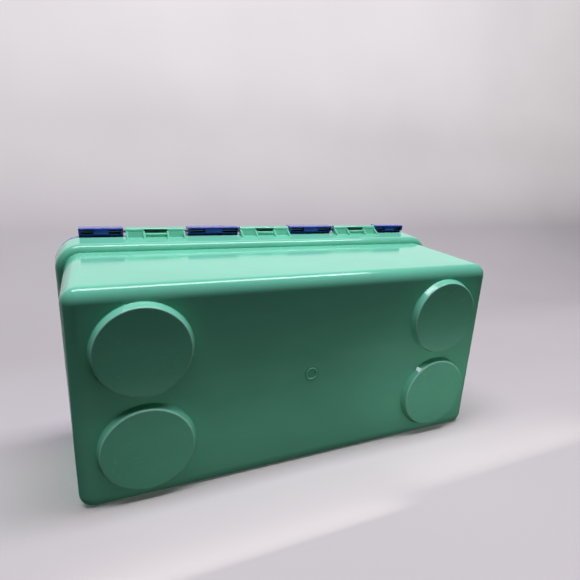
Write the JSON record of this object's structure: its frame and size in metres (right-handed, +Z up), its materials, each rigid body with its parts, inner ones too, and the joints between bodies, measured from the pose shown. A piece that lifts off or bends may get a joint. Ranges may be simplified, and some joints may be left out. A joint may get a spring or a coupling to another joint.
{
  "type": "portable sandbox with cover",
  "caption": "Carryable play sandbox: moulded tub on round feet, cover hinged along its back edge on one rod, snap latches at the front and a bail handle that folds flat into the cover.",
  "frame": {"origin": "centre of the object's outline on the plane that the feet stand on", "axes": "+Z up, +X along the hinge, +Y towards the hinge at the back; the latches face -Y"},
  "size_m": [0.3362, 0.1826, 0.14],
  "materials": {
    "tub_plastic": "smooth moulded mint green, light scuffs on the feet",
    "cover_plastic": "smooth moulded royal blue",
    "trim_plastic": "smooth moulded mint green",
    "pin_steel": "drawn wire, slightly dull"
  },
  "bodies": {
    "tub_body": {"tub": "tub_plastic", "hinge_pin": "pin_steel"},
    "cover_body": {"cover": "cover_plastic", "handle_pin_right": "pin_steel", "handle_pin_left": "pin_steel", "latch_pin_right": "pin_steel", "latch_pin_left": "pin_steel"},
    "handle_body": {"handle": "trim_plastic"},
    "latch_right_body": {"latch_right": "trim_plastic"},
    "latch_left_body": {"latch_left": "trim_plastic"}
  },
  "joints": [
    {"name": "cover_hinge", "type": "hinge", "parent": "tub_body", "child": "cover_body", "pos_m": [0, 0.0883, 0.117], "axis": [-1, 0, 0], "range_deg": [0, 190]},
    {"name": "handle_fold", "type": "hinge", "parent": "cover_body", "child": "handle_body", "pos_m": [0, 0.012, 0.135], "axis": [-1, 0, 0], "range_deg": [0, 95]},
    {"name": "latch_right_swing", "type": "hinge", "parent": "cover_body", "child": "latch_right_body", "pos_m": [0.084, -0.0875, 0.124], "axis": [-1, 0, 0], "range_deg": [0, 100]},
    {"name": "latch_left_swing", "type": "hinge", "parent": "cover_body", "child": "latch_left_body", "pos_m": [-0.084, -0.0875, 0.124], "axis": [-1, 0, 0], "range_deg": [0, 100]}
  ]
}
